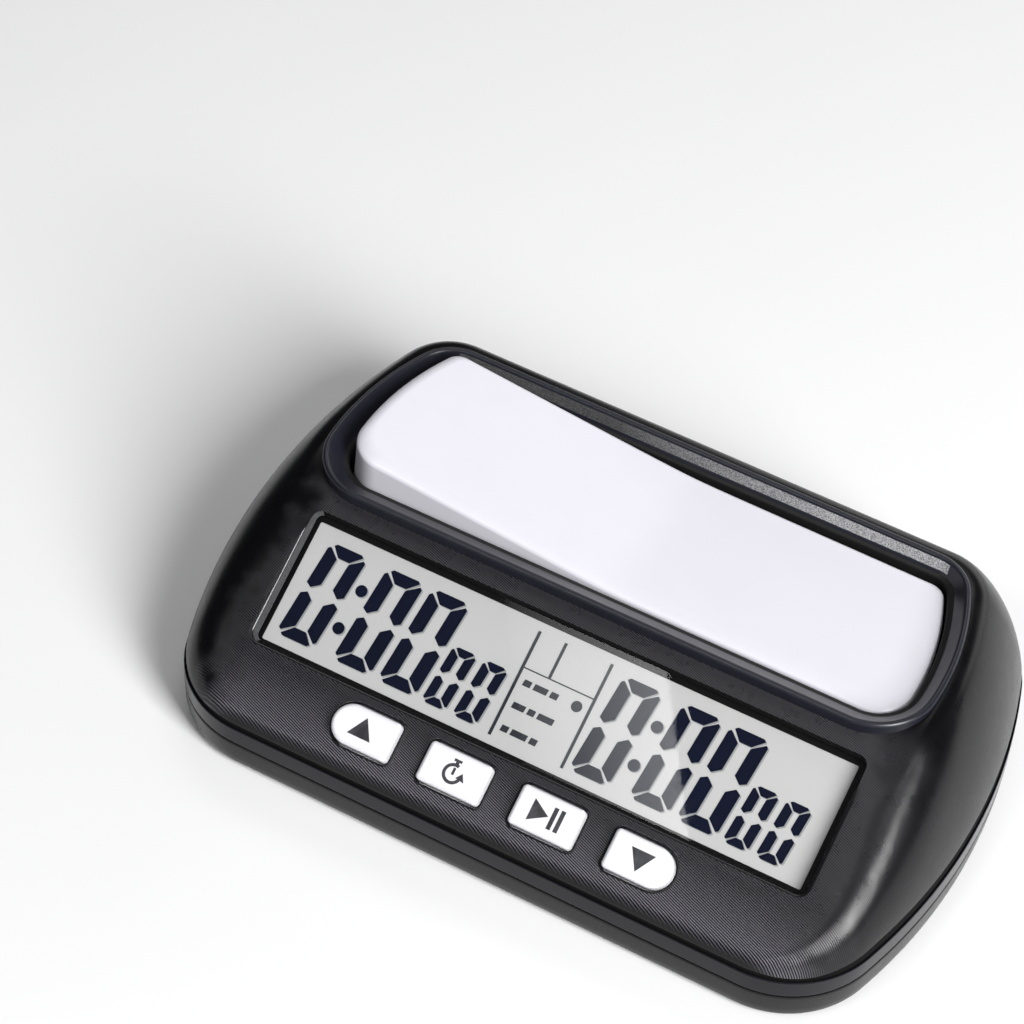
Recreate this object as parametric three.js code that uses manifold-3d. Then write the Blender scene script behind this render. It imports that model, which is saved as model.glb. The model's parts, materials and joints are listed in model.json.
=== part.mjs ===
// Digital chess clock: a wedge-shaped plastic housing with a rocker on top, a display window and four keys in
// the sloping panel, and an AA cell behind a sliding door underneath.
// Millimetres. +X to the players' right as seen from the display side, +Y to the back, +Z up.
// The origin is on the table, under the middle of the housing.
import * as THREE from "three";
import { mergeVertices } from "three/addons/utils/BufferGeometryUtils.js";
import Module from "manifold-3d";

// ---- Driving dimensions ----
const GAP = 0.3; // clearance between pieces that touch
const WALL = 2.2; // housing skin

// Plans: flat front, corner, long bowed side, corner, flat back, mirrored in X
const HOUSING = { half: 68.5, wideY: -1.15, sideR: 102, frontY: -44, frontR: 17.8, backY: 44, backR: 18.4 };
const RIM = { half: 56.6, wideY: 6.1, sideR: 52, frontY: -7.2, frontR: 11, backY: 32.3, backR: 8.5 };
const LEDGE = { half: 53.6, wideY: 6.4, sideR: 53, frontY: -3.1, frontR: 8, backY: 30.1, backR: 4.3 };
const WELL = { half: 52.6, wideY: 6.4, sideR: 52, frontY: -2, frontR: 7, backY: 29.5, backR: 3.6 };
const ROCKER_BASE = { half: 51.8, wideY: 6.3, sideR: 51, frontY: -1.6, frontR: 6.6, backY: 28.9, backR: 2.9 };
const ROCKER_RIDGE = { half: 52, wideY: 6.2, sideR: 52, frontY: -0.8, frontR: 6.2, backY: 28.8, backR: 2.7 };
const ROCKER_TOP = { half: 49.7, wideY: 6.6, sideR: 48, frontY: 2.2, frontR: 5, backY: 27.9, backR: 2.2 };

// Levels of the housing
const BOTTOM_Z = 0.8;
const FLOOR_Z = 3.2; // inner floor of the lower shell
const PART_Z = 7; // parting plane of the two shells
const CREASE_Z = 10.9; // shadow line where the flange meets the upper body
const CREASE_IN = 0.2;
const SHOULDER_Z = 33.1; // flat shoulder round the rocker's rim
const RIM_Z = 34.3;
const LEDGE_Z = 31.6; // foot of the slope inside the rim
const WELL_Z = 31; // edge of the rocker's well
const WELL_BOTTOM_Z = 20.8;
const SIDE_RUN = 11.4; // width of the domed side in plan
const SIDE_POWER = 1.45;
const PANEL_BLEND = 6; // softness of the edge between the panel and the side
const END_BLEND = 10; // the same beyond the ends of the display
const END_BLEND_X = 50; // the edge softens from here
const END_BLEND_RUN = 8;
const SHOULDER_BLEND = 1.5;

// Sloping panel: its frame has its origin in the middle of the display's image, u right, v up the slope, w out
const PANEL_ANGLE = THREE.MathUtils.degToRad(28.2);
const PANEL_Y = -19.9;
const PANEL_Z = 22.8;
const PANEL_SKIN = 3; // outer face above the display's image
const WINDOW = { width: 103.3, height: 25.2, u: 0.3, v: 0.2 };
const BOARD_W = -6.2; // underside of the main board
const BOARD_THICK = 1.6;

// Keys
const KEY_PITCH = 17.1;
const KEY_WIDTH = 11.4;
const KEY_HEIGHT = 7;
const KEY_V = -18;
const KEY_PROUD = 1.8;
const KEYS = ["up", "reset", "play", "down"];

// Rocker
const PIVOT_Z = 26.5;
const PIVOT_Y = 15.1;
const ROCKER_Z = 31.1; // middle of the rocker's top when it is level
const ROCKER_BOTTOM_Z = 22.3;
const ROCKER_VEE = 0.0565; // rise of each half per millimetre
const ROCKER_TILT = THREE.MathUtils.degToRad(3.67);
const SWITCH_X = 12;
const SHAFT_R = 1.5;
const CRADLE_Z = 18.9;
const CRADLE_THICK = 1.2;
const PLUNGER_TOP_Z = 25.6; // when the rocker is level

// Battery bay
const CELL_R = 7.15;
const CELL_LENGTH = 48.8;
const CELL_X = 3;
const CELL_Y = 14;
const CELL_Z = 9.95;
const DOOR_HALF = 33;
const DOOR_FRONT_Y = 3;
const TUB_ROOF_Z = 18.6;

const FRONT_POST = [57.5, -28];
const REAR_POST = [56.8, 24];
const FEET = [[47, -34.5], [47, 33.5]];

const wasm = await Module();
wasm.setup();

// ---- Solids ----
function toSolid(geometry, matrix) {
  const bare = geometry.clone();
  bare.deleteAttribute("normal");
  bare.deleteAttribute("uv");
  if (matrix) bare.applyMatrix4(matrix);
  const merged = mergeVertices(bare, 1e-4);
  const vertProperties = merged.attributes.position.array;
  const triVerts = new Uint32Array(merged.index.array);
  return new wasm.Manifold(new wasm.Mesh({ numProp: 3, vertProperties, triVerts }));
}

function toGeometry(solid) {
  const { vertProperties, triVerts } = solid.getMesh();
  const geometry = new THREE.BufferGeometry();
  geometry.setAttribute("position", new THREE.BufferAttribute(vertProperties, 3));
  geometry.setIndex(new THREE.BufferAttribute(triVerts, 1));
  return geometry;
}

function box(x0, x1, y0, y1, z0, z1) {
  const geometry = new THREE.BoxGeometry(x1 - x0, y1 - y0, z1 - z0);
  return geometry.translate((x0 + x1) / 2, (y0 + y1) / 2, (z0 + z1) / 2);
}

// A round bar standing along Z
function bar(x, y, z0, z1, radius, sides = 20) {
  const geometry = new THREE.CylinderGeometry(radius, radius, z1 - z0, sides);
  return geometry.rotateX(Math.PI / 2).translate(x, y, (z0 + z1) / 2);
}

// A turned body about Z from [radius, z] pairs that start and end on the axis, lowest first
function turned(x, y, profile, sides = 20) {
  const points = profile.map(([r, z]) => new THREE.Vector2(r, z));
  return new THREE.LatheGeometry(points, sides).rotateX(Math.PI / 2).translate(x, y, 0);
}

// A slab with rounded corners, each corner's radius given clockwise from the top left
function slab(width, height, radii, w0, w1, steps = 5) {
  const [tl, tr, br, bl] = radii;
  const right = width / 2;
  const top = height / 2;
  const shape = new THREE.Shape();
  shape.absarc(right - tr, top - tr, tr, Math.PI / 2, 0, true);
  shape.absarc(right - br, br - top, br, 0, -Math.PI / 2, true);
  shape.absarc(bl - right, bl - top, bl, -Math.PI / 2, -Math.PI, true);
  shape.absarc(tl - right, top - tl, tl, Math.PI, Math.PI / 2, true);
  const options = { depth: w1 - w0, bevelEnabled: false, curveSegments: steps };
  return new THREE.ExtrudeGeometry(shape, options).translate(0, 0, w0);
}

// A tube or strip along a curve through points
function along(points, shape, steps) {
  const curve = new THREE.CatmullRomCurve3(points.map((p) => new THREE.Vector3(...p)), false, "centripetal");
  return new THREE.ExtrudeGeometry(shape, { steps, bevelEnabled: false, extrudePath: curve });
}

function disc(radius, sides) {
  const shape = new THREE.Shape();
  for (let i = 0; i < sides; i++) {
    const a = (2 * Math.PI * i) / sides;
    const x = radius * Math.cos(a);
    const y = radius * Math.sin(a);
    if (i) shape.lineTo(x, y);
    else shape.moveTo(x, y);
  }
  shape.closePath();
  return shape;
}

// ---- Plans and lofts ----
const STEPS = { front: 3, frontCorner: 6, side: 6, backCorner: 6, back: 3 };

function grow(plan, by) {
  return {
    half: plan.half + by,
    wideY: plan.wideY,
    sideR: plan.sideR + by,
    frontY: plan.frontY - by,
    frontR: plan.frontR + by,
    backY: plan.backY + by,
    backR: plan.backR + by,
  };
}

// Plan part of the way from one plan to another
function between(a, b, t) {
  return Object.fromEntries(Object.keys(a).map((key) => [key, a[key] + (b[key] - a[key]) * t]));
}

// Centres and end angles of the arcs in the right half of a plan
function arcsOf(plan) {
  const side = [plan.half - plan.sideR, plan.wideY];
  const cornerAt = (y, r) => [side[0] + Math.sqrt((plan.sideR - r) ** 2 - (y - side[1]) ** 2), y];
  const front = cornerAt(plan.frontY + plan.frontR, plan.frontR);
  const back = cornerAt(plan.backY - plan.backR, plan.backR);
  const angleTo = (p) => Math.atan2(p[1] - side[1], p[0] - side[0]);
  return { side, front, back, from: angleTo(front), to: angleTo(back) };
}

// The plan as a closed loop, anticlockwise from above, starting at the middle of the front
function loopOf(plan) {
  const { side, front, back, from, to } = arcsOf(plan);
  const right = [];
  const arc = (centre, radius, a0, a1, steps) => {
    for (let i = 0; i < steps; i++) {
      const a = a0 + ((a1 - a0) * i) / steps;
      right.push([centre[0] + radius * Math.cos(a), centre[1] + radius * Math.sin(a)]);
    }
  };
  for (let i = 0; i < STEPS.front; i++) right.push([(front[0] * i) / STEPS.front, plan.frontY]);
  arc(front, plan.frontR, -Math.PI / 2, from, STEPS.frontCorner);
  arc(side, plan.sideR, from, to, STEPS.side);
  arc(back, plan.backR, to, Math.PI / 2, STEPS.backCorner);
  for (let i = 0; i <= STEPS.back; i++) right.push([back[0] * (1 - i / STEPS.back), plan.backY]);
  const left = right.slice(1, -1).reverse().map(([x, y]) => [-x, y]);
  return [...right, ...left];
}

// How far inside a plan's outline a point lies
function depthIn(plan, x, y) {
  const { side, front, back, from, to } = arcsOf(plan);
  const px = Math.abs(x);
  const angleFrom = (c) => Math.atan2(y - c[1], px - c[0]);
  const inside = (c, r) => r - Math.hypot(px - c[0], y - c[1]);
  const reach = [];
  if (px <= front[0]) reach.push(y - plan.frontY);
  if (px <= back[0]) reach.push(plan.backY - y);
  if (px > front[0] && angleFrom(front) < from) reach.push(inside(front, plan.frontR));
  if (px > back[0] && angleFrom(back) > to) reach.push(inside(back, plan.backR));
  if (angleFrom(side) >= from && angleFrom(side) <= to) reach.push(inside(side, plan.sideR));
  return Math.min(...reach);
}

const ring = (plan, z) => loopOf(plan).map(([x, y]) => [x, y, z]);

// Skin through rings of equal count. It closes on itself, or its ends are capped half by half.
function loft(rings, closed = false) {
  const count = rings[0].length;
  const half = count / 2;
  const index = [];
  const spans = closed ? rings.length : rings.length - 1;
  for (let r = 0; r < spans; r++) {
    const a = r * count;
    const b = ((r + 1) % rings.length) * count;
    for (let i = 0; i < count; i++) {
      const j = (i + 1) % count;
      index.push(a + i, a + j, b + j, a + i, b + j, b + i);
    }
  }
  const cap = (start, up) => {
    for (const first of [0, half]) {
      const ids = [];
      for (let i = 0; i <= half; i++) ids.push(start + ((first + i) % count));
      const flat = ids.map((id) => new THREE.Vector2(...rings[Math.floor(id / count)][id % count]));
      for (const [p, q, s] of THREE.ShapeUtils.triangulateShape(flat, [])) {
        index.push(ids[p], ids[up ? q : s], ids[up ? s : q]);
      }
    }
  };
  if (!closed) {
    cap(0, false);
    cap((rings.length - 1) * count, true);
  }
  const geometry = new THREE.BufferGeometry();
  geometry.setAttribute("position", new THREE.Float32BufferAttribute(rings.flat(2), 3));
  geometry.setIndex(index);
  return geometry;
}

// ---- Housing surface ----
function softMin(a, b, blend) {
  const near = Math.max(blend - Math.abs(a - b), 0);
  return Math.min(a, b) - (near * near) / (4 * blend);
}

// Height of the upper housing's skin over a point: the lowest of the panel, the domed side and the shoulder.
// sink moves the surface inwards for the inner skin.
function skinZ(x, y, sink = 0) {
  const outline = grow(HOUSING, -CREASE_IN);
  const depth = Math.max(depthIn(outline, x, y) - 0.75 * sink, 0);
  const u = Math.min(depth / SIDE_RUN, 1);
  const dome = (1 - (1 - u) ** SIDE_POWER) ** (1 / SIDE_POWER);
  const side = CREASE_Z + (SHOULDER_Z + 1 - CREASE_Z) * dome - 0.4 * sink;
  const rise = (y - PANEL_Y) * Math.tan(PANEL_ANGLE);
  const panel = PANEL_Z + rise + (PANEL_SKIN - sink) / Math.cos(PANEL_ANGLE);
  const shoulder = SHOULDER_Z - sink;
  const share = THREE.MathUtils.clamp((Math.abs(x) - END_BLEND_X) / END_BLEND_RUN, 0, 1);
  const blend = PANEL_BLEND + (END_BLEND - PANEL_BLEND) * share;
  return softMin(softMin(panel, side, blend), shoulder, SHOULDER_BLEND);
}

// Rings from one plan to another that follow the skin
function skinRings(outer, inner, shares, sink = 0) {
  const a = loopOf(outer);
  const b = loopOf(inner);
  return shares.map((t) =>
    a.map(([x, y], i) => {
      const px = x + (b[i][0] - x) * t;
      const py = y + (b[i][1] - y) * t;
      return [px, py, skinZ(px, py, sink)];
    }),
  );
}

const panelMatrix = new THREE.Matrix4()
  .makeTranslation(0, PANEL_Y, PANEL_Z)
  .multiply(new THREE.Matrix4().makeRotationX(PANEL_ANGLE));
const keyU = (i) => (i - (KEYS.length - 1) / 2) * KEY_PITCH;

// Corner radii of a key: the outer end of the first and last key is a half round
function keyRadii(i, extra) {
  const round = KEY_HEIGHT / 2 + extra - 0.01;
  const small = 0.8 + extra;
  const left = i === 0 ? round : small;
  const right = i === KEYS.length - 1 ? round : small;
  return [left, right, right, left];
}

function keySlab(i, extra, w0, w1) {
  const plate = slab(KEY_WIDTH + 2 * extra, KEY_HEIGHT + 2 * extra, keyRadii(i, extra), w0, w1, 4);
  return plate.translate(keyU(i), KEY_V, 0);
}

function mirroredX(points) {
  return points.flatMap(([x, y]) => [[x, y], [-x, y]]);
}

// Highest level at which a post's flat top stays inside the skin
function postTopZ(x, y, radius) {
  const round = [0, 1, 2, 3, 4, 5, 6, 7].map((i) => (i * Math.PI) / 4);
  return Math.min(...round.map((a) => skinZ(x + radius * Math.cos(a), y + radius * Math.sin(a)))) - 0.8;
}

// ---- Shells ----
function upperHousing() {
  const skin = WALL;
  const inner = grow(HOUSING, -WALL - 0.2);
  const wellOut = grow(WELL, 1.3);
  const bottom = PART_Z + GAP / 2;
  const outside = [0.02, 0.06, 0.13, 0.22, 0.34, 0.47, 0.62, 0.8, 1];
  const inside = [0, 0.15, 0.3, 0.5, 0.68, 0.84, 0.95, 0.98, 1];
  const shell = loft(
    [
      ring(HOUSING, bottom),
      ring(HOUSING, CREASE_Z - 0.2),
      ring(grow(HOUSING, -0.15), CREASE_Z),
      ring(grow(HOUSING, -0.45), CREASE_Z - 0.25),
      ...skinRings(grow(HOUSING, -CREASE_IN - 0.35), RIM, outside),
      ring(grow(RIM, -0.4), RIM_Z - 0.3),
      ring(grow(RIM, -1), RIM_Z),
      ring(grow(RIM, -1.5), RIM_Z - 0.4),
      ring(LEDGE, LEDGE_Z),
      ring(WELL, WELL_Z),
      ring(WELL, WELL_BOTTOM_Z),
      ring(wellOut, WELL_BOTTOM_Z),
      ...skinRings(wellOut, inner, inside, skin),
      ring(inner, bottom),
    ],
    true,
  );
  let solid = toSolid(shell);
  const add = (geometry, matrix) => {
    solid = solid.add(toSolid(geometry, matrix));
  };
  const cut = (geometry, matrix) => {
    solid = solid.subtract(toSolid(geometry, matrix));
  };
  // Posts for the housing screws and bosses for the cradle screws
  for (const [x, y] of mirroredX([FRONT_POST, REAR_POST])) {
    add(bar(x, y, PART_Z + 2.1, postTopZ(x, y, 3), 3));
    cut(bar(x, y, PART_Z, 16.5, 1.75, 16));
  }
  for (const [x, y] of mirroredX([CRADLE_SCREW])) {
    add(bar(x, y, CRADLE_Z + CRADLE_THICK + GAP, 27.6, 2.6));
    cut(bar(x, y, CRADLE_Z, 26.4, 1.4, 16));
  }
  // Display window: a tapered opening, and a seat for the lens behind it
  const { width, height, u, v } = WINDOW;
  const opening = slab(width, height, [2, 2, 2, 2], 1.2, PANEL_SKIN + 2).translate(u, v, 0);
  const seat = slab(width + 3.2, height + 2, [2, 2, 2, 2], -1.5, LENS_TOP + GAP).translate(u, v, 0);
  cut(opening, panelMatrix);
  cut(seat, panelMatrix);
  KEYS.forEach((_, i) => cut(keySlab(i, 0.35, -2, PANEL_SKIN + 2), panelMatrix));
  return toGeometry(solid);
}

const LENS_TOP = 1.3;
const CRADLE_SCREW = [15, 34.3];

function lowerHousing() {
  const top = PART_Z - GAP / 2;
  const inner = grow(HOUSING, -WALL);
  let solid = toSolid(
    loft([
      ring(grow(HOUSING, -1.4), BOTTOM_Z),
      ring(grow(HOUSING, -0.7), BOTTOM_Z + 0.35),
      ring(grow(HOUSING, -0.3), BOTTOM_Z + 1.2),
      ring(HOUSING, top),
      ring(inner, top),
      ring(grow(inner, -0.8), FLOOR_Z),
    ]),
  );
  const add = (geometry) => {
    solid = solid.add(toSolid(geometry));
  };
  const cut = (geometry) => {
    solid = solid.subtract(toSolid(geometry));
  };
  // Block over the door's channel and the closed tub that holds the cell
  const tubFront = CELL_Y - CELL_R - 1.7;
  const tubBack = CELL_Y + CELL_R + 1.7;
  const ceiling = FLOOR_Z + 1.2;
  add(box(-DOOR_HALF - 4, DOOR_HALF + 4, 1, 42.4, BOTTOM_Z + 0.4, ceiling));
  add(box(-33, 32, tubFront, tubBack, BOTTOM_Z + 0.4, TUB_ROOF_Z));
  cut(box(-31.7, 30.7, tubFront + 1.3, tubBack - 1.3, 0, TUB_ROOF_Z - 1.2));
  // Channel for the door with a groove on each side, open through the back wall
  cut(box(-DOOR_HALF - GAP, DOOR_HALF + GAP, DOOR_FRONT_Y - GAP, 50, 0, 2.6));
  cut(box(-DOOR_HALF - 1.7, DOOR_HALF + 1.7, DOOR_FRONT_Y - GAP, 50, 1.3, 2.6));
  cut(box(-DOOR_HALF - GAP, DOOR_HALF + GAP, 41.4, 50, 0, PART_Z + 1));
  // Screw posts with counterbored holes, and seats for the feet
  for (const [x, y] of mirroredX([FRONT_POST, REAR_POST])) {
    add(bar(x, y, FLOOR_Z - 0.5, PART_Z + 1.8, 4.3));
    cut(bar(x, y, 0, PART_Z + 3, 1.8, 16));
    cut(bar(x, y, 0, 3.9, 3.1));
  }
  for (const [x, y] of mirroredX(FEET)) cut(bar(x, y, 0, BOTTOM_Z + 1, 4.8));
  return toGeometry(solid);
}

// ---- Rocker and its mechanism (heights are those of the level rocker) ----
const veeRing = (plan, drop) =>
  loopOf(plan).map(([x, y]) => [x, y, ROCKER_Z + ROCKER_VEE * Math.abs(x) - drop]);

function rocker() {
  let solid = toSolid(
    loft([
      ring(ROCKER_BASE, ROCKER_BOTTOM_Z),
      veeRing(grow(ROCKER_BASE, -0.1), 6.5),
      veeRing(ROCKER_RIDGE, 1.4),
      veeRing(between(ROCKER_RIDGE, ROCKER_TOP, 0.3), 0.45),
      veeRing(ROCKER_TOP, 0),
    ]),
  );
  const hollow = loft([
    ring(grow(ROCKER_BASE, -2), ROCKER_BOTTOM_Z - 1),
    veeRing(grow(ROCKER_BASE, -2.2), 6.2),
    veeRing(grow(ROCKER_RIDGE, -2), 2.8),
    veeRing(grow(ROCKER_TOP, -1.2), 2),
  ]);
  solid = solid.subtract(toSolid(hollow));
  for (const x of [-SWITCH_X, SWITCH_X]) {
    solid = solid.add(toSolid(bar(x, PIVOT_Y, PLUNGER_TOP_Z + GAP, ROCKER_Z - 1, 2, 16)));
  }
  for (const y of LUGS) solid = solid.add(toSolid(box(-3.2, 3.2, y - 1, y + 1, 24.2, ROCKER_Z - 1)));
  const bore = bar(0, 0, 0, 40, SHAFT_R + 0.25, 24).rotateX(-Math.PI / 2).translate(0, 0, PIVOT_Z);
  return toGeometry(solid.subtract(toSolid(bore))).translate(0, 0, -PIVOT_Z);
}

const LUGS = [PIVOT_Y - 6.3, PIVOT_Y + 6.3];
const CHEEKS = [PIVOT_Y - 8.6, PIVOT_Y + 8.6];

function cradle() {
  const top = CRADLE_Z + CRADLE_THICK;
  const [screwX, screwY] = CRADLE_SCREW;
  let solid = toSolid(box(-22, 22, 5, 28, CRADLE_Z, top));
  for (const y of CHEEKS) solid = solid.add(toSolid(box(-4, 4, y - 0.7, y + 0.7, top - 0.5, PIVOT_Z + 2.3)));
  for (const x of [-screwX, screwX]) {
    solid = solid.add(toSolid(box(x - 3.5, x + 3.5, 27, screwY + 3.2, CRADLE_Z, top)));
    solid = solid.subtract(toSolid(bar(x, screwY, 0, 30, 1.5, 16)));
  }
  const bore = bar(0, 0, 0, 40, SHAFT_R + 0.3, 24).rotateX(-Math.PI / 2).translate(0, 0, PIVOT_Z);
  return toGeometry(solid.subtract(toSolid(bore)));
}

// ---- Battery bay ----
function batteryDoor() {
  const rear = HOUSING.backY - 0.25;
  let solid = toSolid(box(-DOOR_HALF, DOOR_HALF, DOOR_FRONT_Y, rear, BOTTOM_Z + 0.1, 2.3));
  const tongue = box(-DOOR_HALF - 1.3, DOOR_HALF + 1.3, DOOR_FRONT_Y, rear - 3, 1.6, 2.3);
  solid = solid.add(toSolid(tongue));
  solid = solid.add(toSolid(box(-DOOR_HALF, DOOR_HALF, rear - 1.9, rear, 1, PART_Z - GAP)));
  for (let i = 0; i < 4; i++) {
    const y = 33 + 1.8 * i;
    solid = solid.add(toSolid(box(-9, 9, y - 0.4, y + 0.4, BOTTOM_Z - 0.25, BOTTOM_Z + 0.3)));
  }
  return toGeometry(solid);
}

function cell() {
  const end = CELL_LENGTH / 2;
  const profile = [
    [0, -end],
    [CELL_R - 0.6, -end],
    [CELL_R, -end + 0.6],
    [CELL_R, end - 0.6],
    [CELL_R - 0.6, end],
    [2.8, end],
    [2.6, end + 1.2],
    [0, end + 1.2],
  ];
  return turned(0, 0, profile, 28).rotateY(Math.PI / 2).translate(CELL_X, CELL_Y, CELL_Z);
}

// Conical spring against the cell's flat end
function contactSpring() {
  const x0 = -31;
  const x1 = CELL_X - CELL_LENGTH / 2 - 0.8;
  const turns = 4;
  const points = [];
  for (let i = 0; i <= turns * 8; i++) {
    const t = i / (turns * 8);
    const a = 2 * Math.PI * turns * t;
    const r = 5.2 - 2.2 * t;
    points.push([x0 + (x1 - x0) * t, CELL_Y + r * Math.cos(a), CELL_Z + r * Math.sin(a)]);
  }
  return along(points, disc(0.4, 6), turns * 12);
}

// ---- Small pieces ----
// Pan-head screw driven upwards, head lowest
function screw(x, y, z0, z1, headR, shankR) {
  const neck = z0 + 1.5;
  const profile = [
    [0, z0],
    [headR - 0.5, z0],
    [headR, z0 + 0.5],
    [headR, neck],
    [shankR, neck],
    [shankR, z1 - 1],
    [0.3, z1],
    [0, z1],
  ];
  const slot = box(x - headR, x + headR, y - 0.35, y + 0.35, z0 - 1, z0 + 0.7);
  return toGeometry(toSolid(turned(x, y, profile, 16)).subtract(toSolid(slot)));
}

function foot(x, y) {
  const profile = [
    [0, 0],
    [4, 0],
    [4.4, 0.4],
    [4.4, 1.5],
    [0, 1.5],
  ];
  return turned(x, y, profile, 24);
}

// Key cap: proud block with a bevelled edge, on a flange that keeps it behind the panel
function keyCap(i) {
  const top = PANEL_SKIN + KEY_PROUD;
  let solid = toSolid(keySlab(i, 0, 0.2, top - 0.5));
  solid = solid.add(toSolid(keySlab(i, -0.35, 1, top)));
  solid = solid.add(toSolid(keySlab(i, 1, 0, 0.5)));
  return toGeometry(solid);
}

const SWITCH_BASE_W = BOARD_W + BOARD_THICK + GAP;

function keySwitchBody(i) {
  const [u, v] = [keyU(i), KEY_V];
  const block = toSolid(box(u - 3, u + 3, v - 3, v + 3, SWITCH_BASE_W, -1.5));
  return toGeometry(block.subtract(toSolid(bar(u, v, -3.4, 0, 2, 16))));
}

function tactBody(x) {
  const base = CRADLE_Z + CRADLE_THICK + 2 * GAP + 1.2;
  const block = toSolid(box(x - 3.2, x + 3.2, PIVOT_Y - 3.2, PIVOT_Y + 3.2, base, 24.3));
  return toGeometry(block.subtract(toSolid(bar(x, PIVOT_Y, base + 0.2, 30, 1.8, 16))));
}

// ---- Assembly ----
const paint = (color, roughness, metalness = 0) =>
  new THREE.MeshStandardMaterial({ color, roughness, metalness });
const BLACK_ABS = paint(0x26272b, 0.5);
const INNER_BLACK = paint(0x1b1b1d, 0.6);
const WHITE_ABS = paint(0xeceaf3, 0.35);
const KEY_WHITE = paint(0xf2f1f6, 0.35);
const CLEAR = new THREE.MeshStandardMaterial({
  color: 0xe8eeee,
  roughness: 0.05,
  transparent: true,
  opacity: 0.25,
});
const LCD_GREY = paint(0xc9cdc9, 0.3);
const RUBBER = paint(0x17171a, 0.85);
const CONDUCTIVE = paint(0x4a4a4a, 0.9);
const BOARD_GREEN = paint(0x1f5a37, 0.55);
const STEEL = paint(0xb9bcc0, 0.3, 1);
const BRASS = paint(0xcaa65a, 0.35, 1);
const CELL_WRAP = paint(0x2e3a4a, 0.4);
const CHIP_BLACK = paint(0x101012, 0.5);
const RED_PVC = paint(0xa01f22, 0.5);
const BLACK_PVC = paint(0x141414, 0.5);
const RIBBON_GREY = paint(0x9a9c9e, 0.6);

const clock = new THREE.Group();
const panel = new THREE.Group();
panel.position.set(0, PANEL_Y, PANEL_Z);
panel.rotation.x = PANEL_ANGLE;
const rockerGroup = new THREE.Group();
rockerGroup.position.set(0, 0, PIVOT_Z);
rockerGroup.rotation.y = ROCKER_TILT;
clock.add(panel, rockerGroup);

function part(name, geometry, material, parent = clock) {
  geometry.computeVertexNormals();
  const mesh = new THREE.Mesh(geometry, material);
  mesh.name = name;
  parent.add(mesh);
}

part("upper_housing", upperHousing(), BLACK_ABS);
part("lower_housing", lowerHousing(), BLACK_ABS);

// Rocker, pivot and switches; the plungers stand where the tilted rocker holds them
part("rocker", rocker(), WHITE_ABS, rockerGroup);
const shaftLength = CHEEKS[1] - CHEEKS[0] + 3;
const shaft = bar(0, 0, -shaftLength / 2, shaftLength / 2, SHAFT_R, 24).rotateX(Math.PI / 2);
part("rocker_shaft", shaft.translate(0, PIVOT_Y, PIVOT_Z), STEEL);
part("rocker_cradle", cradle(), INNER_BLACK);
const switchBoardZ = CRADLE_Z + CRADLE_THICK + GAP;
part("switch_board", box(-17, 17, CHEEKS[0] + 1.2, CHEEKS[1] - 1.2, switchBoardZ, switchBoardZ + 1.2), BOARD_GREEN);
for (const [side, x] of [["left", -SWITCH_X], ["right", SWITCH_X]]) {
  const held = PLUNGER_TOP_Z - x * Math.tan(ROCKER_TILT);
  part("switch_body_" + side, tactBody(x), CHIP_BLACK);
  part("switch_plunger_" + side, bar(x, PIVOT_Y, held - 2.45, held, 1.4, 16), WHITE_ABS);
}

// Display stack and main board, in the panel's frame
const { width: windowW, height: windowH, u: windowU, v: windowV } = WINDOW;
const lens = slab(windowW + 2.6, windowH + 1.4, [1.6, 1.6, 1.6, 1.6], GAP, LENS_TOP).translate(windowU, windowV, 0);
part("lcd_lens", lens, CLEAR, panel);
part("lcd_cell", box(-51.4, 51.4, -12.2, 12.2, -2.8, 0), LCD_GREY, panel);
const frameOuter = toSolid(box(-53, 53, -13.1, 13.6, BOARD_W + BOARD_THICK + GAP, -GAP));
const frameInner = toSolid(box(-51.7, 51.7, -12.45, 12.5, BOARD_W, 1));
part("lcd_frame", toGeometry(frameOuter.subtract(frameInner)), INNER_BLACK, panel);
part("zebra_strip", box(-49, 49, -12, -10.4, BOARD_W + BOARD_THICK + GAP, -3.1), CONDUCTIVE, panel);
const boardTop = BOARD_W + BOARD_THICK;
let board = toSolid(box(-53.8, 53.8, -23, 13.4, BOARD_W, boardTop));
const BOARD_SCREWS = [[-42, -18.6], [42, -18.6]];
for (const [u, v] of BOARD_SCREWS) board = board.subtract(toSolid(bar(u, v, -20, 0, 1.4, 16)));
part("main_board", toGeometry(board), BOARD_GREEN, panel);
part("controller_chip", turned(-14, 0, [[0, -8], [5, -8], [7, -7.4], [7, -6.5], [0, -6.5]], 24), CHIP_BLACK, panel);
part("crystal", slab(8, 3, [1.4, 1.4, 1.4, 1.4], -9.4, -6.5).translate(8, -3, 0), STEEL, panel);
part("capacitor", turned(24, -4, [[0, -12], [2.1, -12], [2.5, -11.6], [2.5, -6.5], [0, -6.5]]), CHIP_BLACK, panel);
BOARD_SCREWS.forEach(([u, v], i) => {
  const standoff = toSolid(bar(u, v, boardTop + GAP, 0.4, 2.2, 20));
  const hole = toSolid(bar(u, v, -6, -0.6, 1.3, 16));
  part("board_standoff_" + (i + 1), toGeometry(standoff.subtract(hole)), INNER_BLACK, panel);
  part("board_screw_" + (i + 1), screw(u, v, BOARD_W - GAP - 1.5, -1.2, 2.2, 1), STEEL, panel);
});

KEYS.forEach((name, i) => {
  part("key_" + name, keyCap(i), KEY_WHITE, panel);
  part("key_stem_" + name, bar(keyU(i), KEY_V, -2.1, -GAP, 1.5, 16), CHIP_BLACK, panel);
  part("key_switch_" + name, keySwitchBody(i), CHIP_BLACK, panel);
});

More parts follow.
